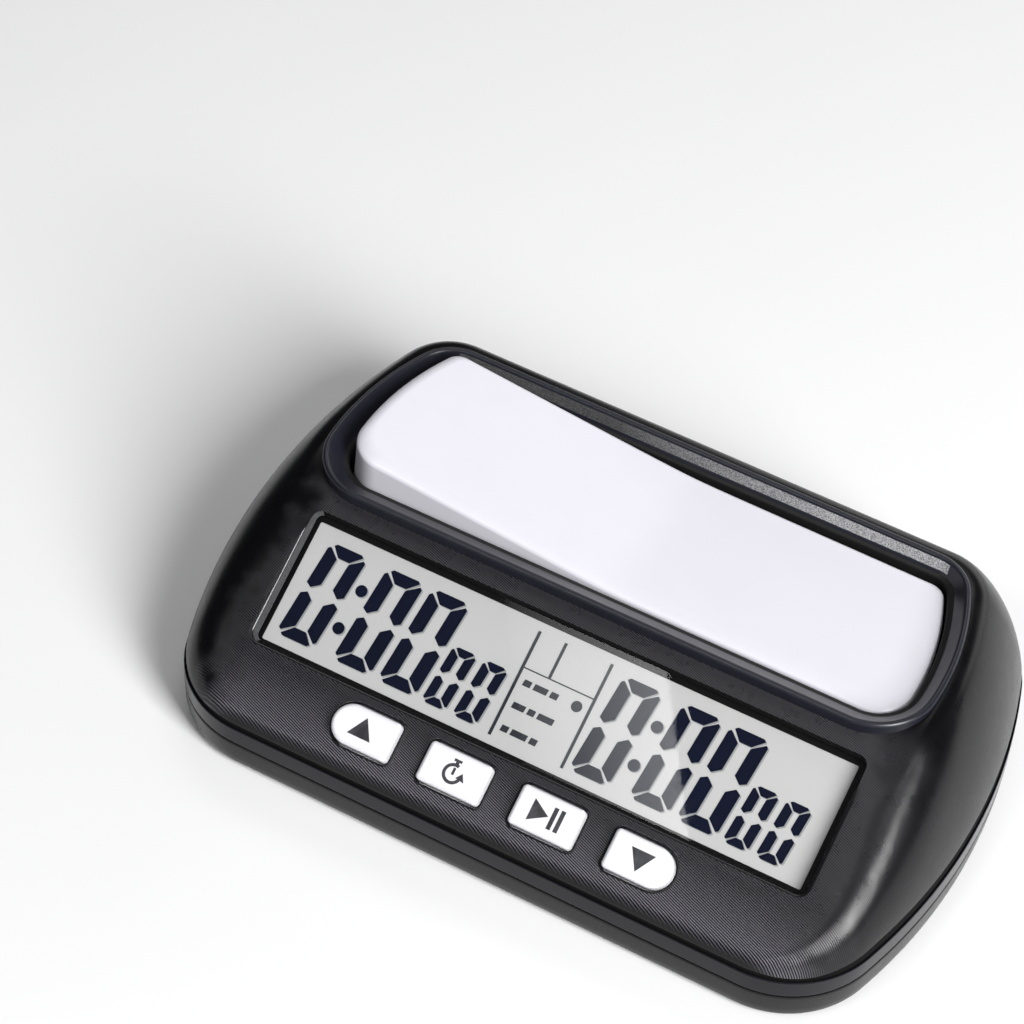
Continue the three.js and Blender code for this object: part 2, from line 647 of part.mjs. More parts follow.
// Battery bay
part("battery_cell", cell(), CELL_WRAP);
part("battery_spring", contactSpring(), STEEL);
const plateX = CELL_X + CELL_LENGTH / 2 + 1.2 + GAP;
part("battery_contact", box(plateX, plateX + 0.6, CELL_Y - 5, CELL_Y + 5, CELL_Z - 5, CELL_Z + 5), BRASS);
part("battery_door", batteryDoor(), BLACK_ABS);

// Leads from the bay to the main board, the cable between the boards, and the sounder
const lead = disc(0.6, 8);
const redRoute = [[34, 12, 7], [35.5, 4, 6.5], [33, -6, 6], [27, -16, 6], [22, -24, 7.2], [20, -28, 9.2]];
const blackRoute = redRoute.map(([x, y, z]) => [-x - 1, y, z]);
part("lead_red", along(redRoute, lead, 22), RED_PVC);
part("lead_black", along(blackRoute, lead, 22), BLACK_PVC);
const strip = new THREE.Shape([[-4, -0.35], [4, -0.35], [4, 0.35], [-4, 0.35]].map((p) => new THREE.Vector2(...p)));
const ribbonSide = [[-8.9, 20.4], [-7.3, 17.6], [-3.5, 15.2], [1, 15.8], [3.6, 19], [4.6, 21.4], [7, 22.5], [10.2, 22.4]];
const ribbonRoute = ribbonSide.map(([y, z]) => [9, y, z]);
part("board_ribbon", along(ribbonRoute, strip, 20), RIBBON_GREY);
part("sounder", turned(-46, -12, [[0, 3.6], [9.5, 3.6], [10, 4.1], [10, 5.6], [0, 5.6]], 28), BRASS);

mirroredX(FEET).forEach(([x, y], i) => part("foot_" + (i + 1), foot(x, y), RUBBER));
mirroredX([FRONT_POST, REAR_POST]).forEach(([x, y], i) => {
  part("housing_screw_" + (i + 1), screw(x, y, 2, 15.5, 2.7, 1.4), STEEL);
});
mirroredX([CRADLE_SCREW]).forEach(([x, y], i) => {
  part("cradle_screw_" + (i + 1), screw(x, y, CRADLE_Z - GAP - 1.5, 25.8, 2.4, 1.1), STEEL);
});

export default clock;
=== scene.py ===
import json
import math

import bpy
from mathutils import Matrix, Vector
from mathutils.geometry import tessellate_polygon


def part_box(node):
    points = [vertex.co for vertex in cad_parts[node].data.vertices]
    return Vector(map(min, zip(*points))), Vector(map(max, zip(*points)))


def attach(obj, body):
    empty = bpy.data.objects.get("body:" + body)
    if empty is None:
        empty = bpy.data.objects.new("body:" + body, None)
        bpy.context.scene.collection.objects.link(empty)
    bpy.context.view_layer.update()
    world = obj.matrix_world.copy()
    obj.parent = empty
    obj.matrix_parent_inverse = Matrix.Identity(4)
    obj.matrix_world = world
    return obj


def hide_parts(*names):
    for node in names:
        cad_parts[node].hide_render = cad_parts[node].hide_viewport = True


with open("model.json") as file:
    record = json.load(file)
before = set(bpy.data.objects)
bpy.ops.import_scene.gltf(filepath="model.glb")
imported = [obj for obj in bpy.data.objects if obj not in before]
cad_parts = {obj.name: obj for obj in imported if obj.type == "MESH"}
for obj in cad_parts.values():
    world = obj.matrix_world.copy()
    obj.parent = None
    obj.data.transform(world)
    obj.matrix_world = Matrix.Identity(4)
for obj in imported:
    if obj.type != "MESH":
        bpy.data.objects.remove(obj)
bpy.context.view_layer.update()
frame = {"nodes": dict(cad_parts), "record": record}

# ---- Sizes in millimetres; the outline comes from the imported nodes' boxes ----
MM = 1000.0


def box_mm(node):
    """The node's low and high corners."""
    low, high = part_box(node)
    return [v * MM for v in low], [v * MM for v in high]


UPPER_LOW, UPPER_HIGH = box_mm("upper_housing")
DOOR_LOW, DOOR_HIGH = box_mm("battery_door")
CELL_LOW, CELL_HIGH = box_mm("battery_cell")
SHAFT_LOW, SHAFT_HIGH = box_mm("rocker_shaft")

FRONT_Y = UPPER_LOW[1]
BACK_Y = UPPER_HIGH[1]
RIM_Z = UPPER_HIGH[2]
BOTTOM_Z = box_mm("lower_housing")[0][2]
PIVOT_Z = (SHAFT_LOW[2] + SHAFT_HIGH[2]) / 2

WALL = 2.2
PART_Z = 7.0  # parting line of the two shells
CREASE_Z = 10.9  # top of the upright flange
CREASE_IN = 0.2
SHOULDER_Z = RIM_Z - 1.2  # level shoulder at the foot of the rim
LEDGE_Z = RIM_Z - 2.7
WELL_Z = RIM_Z - 3.3
WELL_BOTTOM_Z = 20.8
SIDE_RUN = 11.4
SIDE_POWER = 1.45
PANEL_BLEND = 6.0
END_BLEND = 10.0  # the wider blend beyond the display's ends
END_BLEND_X = 50.0
END_BLEND_RUN = 8.0
SHOULDER_BLEND = 1.5

PANEL_ANGLE = math.radians(28.2)
PANEL_Y = -19.9
PANEL_Z = 22.8
PANEL_SKIN = 3.0

WINDOW_CENTRE = (0.3, 0.2)
WINDOW_SIZE = (103.3, 25.2)
WINDOW_RADII = (2, 2)
SEAT_SIZE = (106.5, 27.2)
MASK_SIZE = (104.6, 26.0)
VIEW_SIZE = (100.2, 22.0)
WINDOW_W = 1.2  # the clear plate's face above the panel frame's origin

KEYS = ["up", "reset", "play", "down"]
KEY_PITCH = 17.1
KEY_WIDTH = 11.4
KEY_HEIGHT = 7.0
KEY_V = -18.0
KEY_TOP = PANEL_SKIN + 1.8
KEY_EDGE = 0.75
KEY_DRAFT = 0.02
KEY_FLANGE = 1.0
KEY_FLANGE_TOP = 0.5

ROCKER_Z = 31.1
ROCKER_BOTTOM_Z = 22.3
ROCKER_VEE = 0.0565  # slope of the two halves of the top
ROCKER_WALL_DROP = 6.5
ROCKER_EDGE = 1.4
ROCKER_TILT = math.radians(3.67)

BAY_X = (-31.7, 30.7)
DOOR_STOP_Y = 41.4
FOOT_RECESS = (4.8, 1.8)  # radius and depth
SCREW_RECESS = (3.1, 3.9)


class Plan:
    """Outline with a flat front, long bowed sides and a flat back, joined by corner arcs."""

    STEPS = {"front": 22, "front_corner": 18, "side": 34, "back_corner": 18, "back": 22}

    def __init__(self, half, wide_y, side_r, front_y, front_r, back_y, back_r):
        self.values = (half, wide_y, side_r, front_y, front_r, back_y, back_r)
        self.front_y, self.front_r = front_y, front_r
        self.back_y, self.back_r = back_y, back_r
        self.side_r = side_r
        self.side = (half - side_r, wide_y)
        self.front = self.corner(front_y + front_r, front_r)
        self.back = self.corner(back_y - back_r, back_r)
        self.a_front = math.atan2(self.front[1] - wide_y, self.front[0] - self.side[0])
        self.a_back = math.atan2(self.back[1] - wide_y, self.back[0] - self.side[0])

    def corner(self, y, r):
        """Centre of the corner arc of radius r that meets the bowed side, at the given y."""
        return (self.side[0] + math.sqrt((self.side_r - r) ** 2 - (y - self.side[1]) ** 2), y)

    def grow(self, by):
        """The outline moved outwards by a distance."""
        half, wide_y, side_r, front_y, front_r, back_y, back_r = self.values
        return Plan(
            half + by, wide_y, side_r + by, front_y - by, front_r + by, back_y + by, back_r + by
        )

    def loop(self):
        """The outline's points, anticlockwise from the middle of the front."""
        steps = self.STEPS
        right = []

        def arc(centre, radius, a0, a1, count):
            for i in range(count):
                a = a0 + (a1 - a0) * i / count
                right.append((centre[0] + radius * math.cos(a), centre[1] + radius * math.sin(a)))

        for i in range(steps["front"]):
            right.append((self.front[0] * i / steps["front"], self.front_y))
        arc(self.front, self.front_r, -math.pi / 2, self.a_front, steps["front_corner"])
        arc(self.side, self.side_r, self.a_front, self.a_back, steps["side"])
        arc(self.back, self.back_r, self.a_back, math.pi / 2, steps["back_corner"])
        for i in range(steps["back"] + 1):
            right.append((self.back[0] * (1 - i / steps["back"]), self.back_y))
        return right + [(-x, y) for x, y in reversed(right[1:-1])]

    def depth(self, x, y):
        """How far a point lies inside the outline."""
        x = abs(x)
        reach = []
        if x <= self.front[0]:
            reach.append(y - self.front_y)
        elif math.atan2(y - self.front[1], x - self.front[0]) < self.a_front:
            reach.append(self.front_r - math.hypot(x - self.front[0], y - self.front[1]))
        if x <= self.back[0]:
            reach.append(self.back_y - y)
        elif math.atan2(y - self.back[1], x - self.back[0]) > self.a_back:
            reach.append(self.back_r - math.hypot(x - self.back[0], y - self.back[1]))
        if self.a_front <= math.atan2(y - self.side[1], x - self.side[0]) <= self.a_back:
            reach.append(self.side_r - math.hypot(x - self.side[0], y - self.side[1]))
        return min(reach)


HOUSING = Plan(68.5, -1.15, 102.0, FRONT_Y, 17.8, BACK_Y, 18.4)
RIM = Plan(56.6, 6.1, 52.0, -7.2, 11.0, 32.3, 8.5)
LEDGE = Plan(53.6, 6.4, 53.0, -3.1, 8.0, 30.1, 4.3)
WELL = Plan(52.6, 6.4, 52.0, -2.0, 7.0, 29.5, 3.6)
ROCKER_BASE = Plan(51.8, 6.3, 51.0, -1.6, 6.6, 28.9, 2.9)
ROCKER_RIDGE = Plan(52.0, 6.2, 52.0, -0.8, 6.2, 28.8, 2.7)
ROCKER_TOP = Plan(49.7, 6.6, 48.0, 2.2, 5.0, 27.9, 2.2)


def blended(outer, inner, t):
    """Plan between two plans."""
    return Plan(*(a + (b - a) * t for a, b in zip(outer.values, inner.values)))


def soft_min(a, b, blend):
    """The smaller of two heights, rounded where they are close to each other."""
    near = max(blend - abs(a - b), 0.0)
    return min(a, b) - near * near / (4 * blend)


SKIN_OUTLINE = HOUSING.grow(-CREASE_IN)


def skin_z(x, y, sink=0.0):
    """Height of the upper housing's skin over a point; sink moves it inwards for the inner skin."""
    depth = max(SKIN_OUTLINE.depth(x, y) - 0.75 * sink, 0.0)
    u = min(depth / SIDE_RUN, 1.0)
    dome = (1 - (1 - u) ** SIDE_POWER) ** (1 / SIDE_POWER)
    side = CREASE_Z + (SHOULDER_Z + 1 - CREASE_Z) * dome - 0.4 * sink
    panel = PANEL_Z + (y - PANEL_Y) * math.tan(PANEL_ANGLE)
    panel += (PANEL_SKIN - sink) / math.cos(PANEL_ANGLE)
    beyond = min(max((abs(x) - END_BLEND_X) / END_BLEND_RUN, 0.0), 1.0)
    blend = PANEL_BLEND + (END_BLEND - PANEL_BLEND) * beyond
    return soft_min(soft_min(panel, side, blend), SHOULDER_Z - sink, SHOULDER_BLEND)


# ---- Shapes: each is (points, faces, material index of each face) in millimetres ----
def ring(plan, z):
    return [(x, y, z) for x, y in plan.loop()]


def skin_rings(outer, inner, shares, sink=0.0):
    """Rings on the skin between two outlines, at the given shares of the way inwards."""
    a, b = outer.loop(), inner.loop()
    rings = []
    for t in shares:
        flat = [(px + (qx - px) * t, py + (qy - py) * t) for (px, py), (qx, qy) in zip(a, b)]
        rings.append([(x, y, skin_z(x, y, sink)) for x, y in flat])
    return rings


def loft(bands, closed=False):
    """Skin through rings of equal count. bands is [(rings, material index), ...]; a face takes the
    index of the ring it starts at. The ends are capped unless the skin closes on itself."""
    rings, tones = [], []
    for group, tone in bands:
        rings.extend(group)
        tones.extend([tone] * len(group))
    count = len(rings[0])
    faces, index = [], []
    for r in range(len(rings) if closed else len(rings) - 1):
        a, b = r * count, ((r + 1) % len(rings)) * count
        for i in range(count):
            j = (i + 1) % count
            faces.append((a + i, a + j, b + j, b + i))
            index.append(tones[r])
    if not closed:
        faces.append(tuple(reversed(range(count))))
        last = (len(rings) - 1) * count
        faces.append(tuple(range(last, last + count)))
        index += [tones[0], tones[-1]]
    return [p for one in rings for p in one], faces, index


def circle(x, y, z, radius, sides=48):
    steps = [2 * math.pi * i / sides for i in range(sides)]
    return [(x + radius * math.cos(a), y + radius * math.sin(a), z) for a in steps]


def turned(x, y, profile, sides=48, tone=0):
    """A body of revolution about a line along z, from (radius, z) pairs, lowest first."""
    return loft([([circle(x, y, z, r, sides) for r, z in profile], tone)])


def block(x0, x1, y0, y1, z0, z1, tone=0):
    lower = [(x0, y0, z0), (x1, y0, z0), (x1, y1, z0), (x0, y1, z0)]
    upper = [(x, y, z1) for x, y, _ in lower]
    return loft([([lower, upper], tone)])


def rounded_rect(u, v, width, height, radii, w, grow=0.0, steps=8):
    """Closed loop, anticlockwise; radii are of the left and the right corners."""
    loop = []
    half_w, half_h = width / 2 + grow, height / 2 + grow
    left, right = (max(r + grow, 0.05) for r in radii)
    corners = [
        (half_w, half_h, right),
        (-half_w, half_h, left),
        (-half_w, -half_h, left),
        (half_w, -half_h, right),
    ]
    for quarter, (cx, cy, r) in enumerate(corners):
        r = min(r, half_h - 0.001)
        arc_u = u + cx - math.copysign(r, cx)
        arc_v = v + cy - math.copysign(r, cy)
        for i in range(steps + 1):
            a = math.pi / 2 * (quarter + i / steps)
            loop.append((arc_u + r * math.cos(a), arc_v + r * math.sin(a), w))
    return loop


def plates(polygons, w0, w1, tone=0):
    """Thin plates on flat closed outlines, given as lists of (u, v), anticlockwise."""
    points, faces, index = [], [], []
    for outline in polygons:
        start, n = len(points), len(outline)
        points += [(x, y, w0) for x, y in outline] + [(x, y, w1) for x, y in outline]
        for tri in tessellate_polygon([[Vector((x, y, 0)) for x, y in outline]]):
            a, b, c = tri
            (ax, ay), (bx, by), (cx, cy) = outline[a], outline[b], outline[c]
            if (bx - ax) * (cy - ay) - (by - ay) * (cx - ax) < 0:
                b, c = c, b
            faces.append((start + n + a, start + n + b, start + n + c))
            faces.append((start + c, start + b, start + a))
        for i in range(n):
            j = (i + 1) % n
            faces.append((start + i, start + j, start + n + j, start + n + i))
        index += [tone] * (len(faces) - len(index))
    return points, faces, index


PANEL = Matrix.Translation((0, PANEL_Y, PANEL_Z)) @ Matrix.Rotation(PANEL_ANGLE, 4, "X")


def shell_object(name, shapes, materials, matrix=None):
    """An object made of shapes, placed by the matrix and turned into metres."""
    points, faces, index = [], [], []
    for shape_points, shape_faces, shape_index in shapes:
        start = len(points)
        points += shape_points
        faces += [tuple(start + i for i in f) for f in shape_faces]
        index += shape_index
    if matrix:
        points = [matrix @ Vector(p) for p in points]
    mesh = bpy.data.meshes.new(name)
    mesh.from_pydata([tuple(c / MM for c in p) for p in points], [], faces)
    for material in materials:
        mesh.materials.append(material)
    for polygon, tone in zip(mesh.polygons, index):
        polygon.material_index = tone
    obj = bpy.data.objects.new(name, mesh)
    bpy.context.scene.collection.objects.link(obj)
    return obj


def bake_modifiers(obj):
    """Puts the result of the object's modifiers in its mesh."""
    depsgraph = bpy.context.evaluated_depsgraph_get()
    mesh = bpy.data.meshes.new_from_object(obj.evaluated_get(depsgraph))
    obj.modifiers.clear()
    old = obj.data
    obj.data = mesh
    bpy.data.meshes.remove(old)
    mesh.name = obj.name


def carve(obj, cutters):
    """Cuts closed shapes, given as (shape, matrix), out of obj."""
    made = []
    for shape, matrix in cutters:
        made.append(shell_object("cutter", [shape], list(obj.data.materials), matrix))
    for cutter in made:
        modifier = obj.modifiers.new("cut", "BOOLEAN")
        modifier.operation = "DIFFERENCE"
        modifier.solver = "EXACT"
        modifier.object = cutter
    bake_modifiers(obj)
    for cutter in made:
        data = cutter.data
        bpy.data.objects.remove(cutter)
        bpy.data.meshes.remove(data)


def settle(obj, body, smooth=30.0, stands_for=()):
    """Shades the piece, puts it on its body, and hides the nodes it stands for."""
    for polygon in obj.data.polygons:
        polygon.use_smooth = True
    obj.data.set_sharp_from_angle(angle=math.radians(smooth))
    weighted = obj.modifiers.new("weighted", "WEIGHTED_NORMAL")
    weighted.keep_sharp = True
    bake_modifiers(obj)
    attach(obj, body)
    if stands_for:
        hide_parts(*stands_for)
    return obj


# ---- Materials ----
class Nodes:
    """Short way to build a node material; coordinates are in millimetres in the row's frame."""

    def __init__(self, name):
        self.material = bpy.data.materials.new(name)
        self.material.use_nodes = True
        self.tree = self.material.node_tree
        self.tree.nodes.clear()
        self.output = self.tree.nodes.new("ShaderNodeOutputMaterial")
        self.coordinates = self.tree.nodes.new("ShaderNodeTexCoord").outputs["Object"]

    def add(self, kind, **settings):
        node = self.tree.nodes.new("ShaderNode" + kind)
        for key, value in settings.items():
            setattr(node, key, value)
        return node

    def link(self, source, target):
        self.tree.links.new(source, target)

    def place(self, scale=MM, turn=0.0, stretch=None):
        """Coordinates in millimetres, turned about z in degrees, then stretched."""
        mapping = self.add("Mapping", vector_type="POINT")
        mapping.inputs["Rotation"].default_value = (0, 0, math.radians(turn))
        mapping.inputs["Scale"].default_value = [scale] * 3
        self.link(self.coordinates, mapping.inputs["Vector"])
        if stretch is None:
            return mapping.outputs["Vector"]
        second = self.add("Mapping", vector_type="POINT")
        second.inputs["Scale"].default_value = stretch
        self.link(mapping.outputs["Vector"], second.inputs["Vector"])
        return second.outputs["Vector"]

    def noise(self, scale, detail=2.0, vector=None, rough=0.5):
        node = self.add("TexNoise")
        node.inputs["Scale"].default_value = scale
        node.inputs["Detail"].default_value = detail
        node.inputs["Roughness"].default_value = rough
        self.link(vector or self.place(), node.inputs["Vector"])
        return node.outputs["Fac"]

    def span(self, value, low, high, from_low=0.3, from_high=0.7):
        """The value's range from_low to from_high, spread over low to high."""
        node = self.add("MapRange")
        self.link(value, node.inputs["Value"])
        node.inputs["From Min"].default_value = from_low
        node.inputs["From Max"].default_value = from_high
        node.inputs["To Min"].default_value = low
        node.inputs["To Max"].default_value = high
        return node.outputs["Result"]

    def blend(self, value, a, b):
        """Colour between a and b; each is a tuple or a socket."""
        node = self.add("Mix", data_type="RGBA")
        self.link(value, node.inputs["Factor"])
        for socket, colour in ((6, a), (7, b)):
            if isinstance(colour, tuple):
                node.inputs[socket].default_value = (*colour, 1)
            else:
                self.link(colour, node.inputs[socket])
        return node.outputs[2]

    def mix(self, value, a, b):
        node = self.add("Mix", data_type="FLOAT")
        self.link(value, node.inputs["Factor"])
        self.link(a, node.inputs[2])
        self.link(b, node.inputs[3])
        return node.outputs[0]

    def times(self, a, b):
        node = self.add("Math", operation="MULTIPLY")
        self.link(a, node.inputs[0])
        self.link(b, node.inputs[1])
        return node.outputs[0]

    def bump(self, height, distance):
        node = self.add("Bump")
        node.inputs["Distance"].default_value = distance / MM
        node.inputs["Strength"].default_value = 1.0
        self.link(height, node.inputs["Height"])
        return node.outputs["Normal"]

    def principled(self, colour, roughness, normal=None, metallic=0.0, coat=0.0, specular=0.5):
        node = self.add("BsdfPrincipled")
        self.link(colour, node.inputs["Base Color"])
        self.link(roughness, node.inputs["Roughness"])
        node.inputs["Metallic"].default_value = metallic
        node.inputs["Coat Weight"].default_value = coat
        node.inputs["Coat Roughness"].default_value = 0.15
        node.inputs["Specular IOR Level"].default_value = specular
        if normal is not None:
            self.link(normal, node.inputs["Normal"])
        self.link(node.outputs["BSDF"], self.output.inputs["Surface"])
        return self.material


def moulded(name, a, b, rough, grain, depth, patch=0.08, metallic=0.0, coat=0.0, specular=0.5):
    """Plain moulded or drawn surface: two close tones in soft patches and a fine grain."""
    n = Nodes(name)
    colour = n.blend(n.noise(patch, 3), a, b)
    roughness = n.span(n.noise(patch * 3, 4), *rough)
    return n.principled(colour, roughness, n.bump(n.noise(grain, 3), depth), metallic, coat, specular)


RIDGE_TURN = -73.0
RIDGE_PITCH = 0.31
RIDGE_DEPTH = 0.05
WAVE_LENGTH = 0.314  # period of a wave texture of scale 1
RIDGES_FADE_RIGHT = (50.0, 62.0)
RIDGES_FADE_LEFT = (-56.0, -49.0)
RIDGES_FADE_BEHIND = (-7.0, -2.0)
RIDGES_FADE_FRONT = (-43.3, -42.3)
# From where the ridges' painted highlight weakens towards the back
RIDGE_SHEEN_WEAKER_FROM = (-41.0, -34.0)
# Across which x the speckles' painted highlight rises from faint on the left to full on the right
SPECKLE_HIGHLIGHT_RISE = (-16.0, 26.0)


def linen(name):
    """Black plastic with fine slanting, slightly wavy ridges on the panel, smooth on the flanks; the
    ridge crests are painted pale as a painted highlight and the valleys near black as painted shade,
    most strongly at the front edge.
    """
    n = Nodes(name)
    wave = n.add("TexWave", wave_type="BANDS", bands_direction="X")
    wave.inputs["Scale"].default_value = WAVE_LENGTH / RIDGE_PITCH
    wave.inputs["Distortion"].default_value = 0.9
    wave.inputs["Detail"].default_value = 0.5
    wave.inputs["Detail Scale"].default_value = 0.8
    n.link(n.place(turn=RIDGE_TURN), wave.inputs["Vector"])
    streaks = n.noise(1.0, 2, n.place(turn=RIDGE_TURN, stretch=(3.0, 0.35, 1)))
    height = n.mix(n.span(n.noise(0.3, 2), 0.08, 0.28, 0.35, 0.65), wave.outputs["Fac"], streaks)
    across = n.add("SeparateXYZ")
    n.link(n.place(), across.inputs["Vector"])
    edge = n.add("Math", operation="ADD")
    n.link(across.outputs["X"], edge.inputs[0])
    n.link(n.span(n.noise(0.2, 2), -3.0, 3.0), edge.inputs[1])
    right = n.span(edge.outputs[0], 1.0, 0.15, *RIDGES_FADE_RIGHT)
    left = n.span(edge.outputs[0], 0.0, 1.0, *RIDGES_FADE_LEFT)
    behind = n.span(across.outputs["Y"], 1.0, 0.0, *RIDGES_FADE_BEHIND)
    steep = n.span(across.outputs["Y"], 0.0, 1.0, *RIDGES_FADE_FRONT)
    ridged = n.times(n.times(right, left), n.times(behind, steep))
    relief = n.times(height, ridged)
    # Painted highlight: the ridges' painted glint is full at the panel's front edge and weaker behind
    # it
    front = n.span(across.outputs["Y"], 1.0, 0.3, *RIDGE_SHEEN_WEAKER_FROM)
    # Painted highlight and shade: crests painted pale, valleys near black
    tone = n.times(n.times(n.span(height, 0.0, 1.0, 0.4, 0.8), ridged), front)
    colour = n.blend(tone, (0.001, 0.001, 0.0016), (0.13, 0.124, 0.146))
    roughness = n.span(n.noise(0.3, 3), 0.26, 0.31)
    return n.principled(colour, roughness, n.bump(relief, RIDGE_DEPTH), specular=0.32)


def speckled(name):
    """Coarse-grained black plastic whose grains carry a painted highlight, strongest to the right and
    fading into painted shade towards the left.
    """
    n = Nodes(name)
    across = n.add("SeparateXYZ")
    n.link(n.place(), across.inputs["Vector"])
    # Painted shade towards the left: the painted highlight weakens there
    share = n.span(across.outputs["X"], 0.16, 1.0, *SPECKLE_HIGHLIGHT_RISE)
    grain = n.noise(4.4, 3, rough=0.75)
    speck = n.times(n.span(grain, 0.15, 1.0, 0.38, 0.66), share)
    # Painted highlight: pale grey grains on the rim's rear inner slope
    colour = n.blend(speck, (0.012, 0.012, 0.013), (0.5, 0.5, 0.51))
    return n.principled(colour, n.span(grain, 0.4, 0.55), n.bump(grain, 0.06))


TEXTURED = linen("housing textured")
SPECKLED_HIGHLIGHT = speckled("rim speckled painted highlight")
SATIN_BLACK = moulded(
    "housing satin", (0.003, 0.003, 0.0055), (0.0045, 0.0045, 0.0075),
    (0.14, 0.2), 1.6, 0.002, specular=0.22,
)
LOWER_BLACK = moulded(
    "lower shell satin", (0.004, 0.004, 0.0045), (0.006, 0.006, 0.0065),
    (0.24, 0.3), 1.6, 0.003, specular=0.22,
)
BEAD_BLACK = moulded(
    "rim smooth", (0.008, 0.008, 0.0145), (0.011, 0.011, 0.019),
    (0.3, 0.36), 1.2, 0.002,
)
INNER_BLACK = moulded(
    "inner moulding", (0.006, 0.006, 0.006), (0.010, 0.010, 0.010),
    (0.5, 0.6), 1.2, 0.01, specular=0.25,
)
EDGE_BLACK = moulded(
    "window edge", (0.004, 0.004, 0.005), (0.006, 0.006, 0.007),
    (0.2, 0.28), 1.2, 0.003,
)
# Painted shade: a near-black, dull, weakly mirroring tone for the crease groove, the window's walls and
# the parting line's lip, where shade falls
GAP_SHADE_BLACK = moulded(
    "gap", (0.002, 0.002, 0.002), (0.003, 0.003, 0.003),
    (0.8, 0.9), 1.2, 0.003, specular=0.1,
)
# Painted highlight: a paler copy of the window walls' tone for the left wall, which faces the key light
LIT_WALL_GREY = moulded(
    "window wall painted highlight", (0.035, 0.035, 0.038), (0.06, 0.06, 0.064),
    (0.24, 0.32), 1.2, 0.004,
)
ROCKER_WHITE = moulded(
    "rocker white", (0.63, 0.62, 0.672), (0.655, 0.645, 0.697),
    (0.3, 0.36), 0.9, 0.003,
)
KEY_WHITE = moulded(
    "key white", (0.70, 0.695, 0.73), (0.725, 0.72, 0.755),
    (0.28, 0.34), 1.0, 0.003,
)
SEGMENT_NAVY = moulded(
    "display segments", (0.0008, 0.002, 0.009), (0.0015, 0.0045, 0.022),
    (0.5, 0.6), 1.2, 0.0, 0.12, specular=0.1,
)
SHADE_GREY = moulded(
    "segment shadow", (0.27, 0.275, 0.28), (0.31, 0.315, 0.32),
    (0.5, 0.6), 1.2, 0.0, specular=0.1,
)
MARK_GREY = moulded(
    "display marks", (0.022, 0.024, 0.03), (0.034, 0.037, 0.046),
    (0.5, 0.6), 1.2, 0.0, specular=0.1,
)
MASK_BLACK = moulded(
    "display mask", (0.002, 0.002, 0.0024), (0.003, 0.003, 0.0034),
    (0.5, 0.6), 1.0, 0.0, specular=0.1,
)
RUBBER = moulded("rubber", (0.010, 0.010, 0.010), (0.016, 0.016, 0.016), (0.7, 0.8), 2.0, 0.02)
BOARD = moulded("circuit board", (0.012, 0.09, 0.035), (0.02, 0.12, 0.05), (0.35, 0.45), 1.6, 0.01)
COMPONENT = moulded(
    "component black", (0.012, 0.012, 0.013), (0.02, 0.02, 0.021),
    (0.45, 0.55), 1.6, 0.01,
)
STEEL = moulded(
    "steel", (0.52, 0.53, 0.55), (0.62, 0.63, 0.65),
    (0.24, 0.34), 3.0, 0.004, metallic=1.0,
)
BRASS = moulded(
    "brass", (0.62, 0.43, 0.16), (0.72, 0.52, 0.22),
    (0.26, 0.36), 3.0, 0.004, metallic=1.0,
)
WRAP = moulded(
    "cell sleeve", (0.03, 0.045, 0.08), (0.045, 0.06, 0.1),
    (0.25, 0.32), 1.0, 0.004, coat=0.3,
)
PLUNGER = moulded("plunger white", (0.7, 0.7, 0.72), (0.78, 0.78, 0.8), (0.35, 0.45), 1.5, 0.004)
RED = moulded("red sleeve", (0.36, 0.012, 0.012), (0.45, 0.02, 0.02), (0.35, 0.45), 2.0, 0.004)
RIBBON = moulded("ribbon", (0.32, 0.33, 0.34), (0.4, 0.41, 0.42), (0.4, 0.5), 2.0, 0.004)


def liquid_crystal():
    """Pale grey display glass, a little uneven."""
    n = Nodes("display glass")
    colour = n.blend(n.noise(0.02, 2), (0.47, 0.473, 0.47), (0.53, 0.532, 0.526))
    roughness = n.span(n.noise(0.1, 2), 0.4, 0.5)
    return n.principled(colour, roughness, n.bump(n.noise(0.5, 1), 0.002), specular=0.2)


def icon_print():
    """Dark grey print that is lighter to one side."""
    n = Nodes("key print")
    tone = n.noise(0.35, 2)
    colour = n.blend(n.span(tone, 0.0, 1.0), (0.012, 0.012, 0.015), (0.06, 0.06, 0.068))
    return n.principled(colour, n.span(tone, 0.3, 0.4), metallic=0.4)


def clear_plate():
    """Clear plate: light passes straight through and the face mirrors by Fresnel."""
    n = Nodes("display window")
    through = n.add("BsdfTransparent")
    tint = n.blend(n.noise(0.03, 2), (0.975, 0.975, 0.975), (0.985, 0.985, 0.985))
    n.link(tint, through.inputs["Color"])
    mirror = n.add("BsdfGlossy")
    n.link(n.span(n.noise(0.2, 2), 0.01, 0.03), mirror.inputs["Roughness"])
    fresnel = n.add("Fresnel")
    fresnel.inputs["IOR"].default_value = 1.49
    outside = n.add("Math", operation="SUBTRACT")
    outside.inputs[0].default_value = 1.0
    n.link(n.add("NewGeometry").outputs["Backfacing"], outside.inputs[1])
    mix = n.add("MixShader")
    n.link(n.times(fresnel.outputs["Fac"], outside.outputs[0]), mix.inputs[0])
    n.link(through.outputs[0], mix.inputs[1])
    n.link(mirror.outputs[0], mix.inputs[2])
    n.link(mix.outputs[0], n.output.inputs["Surface"])
    return n.material


LCD = liquid_crystal()
CLEAR = clear_plate()
PRINT = icon_print()

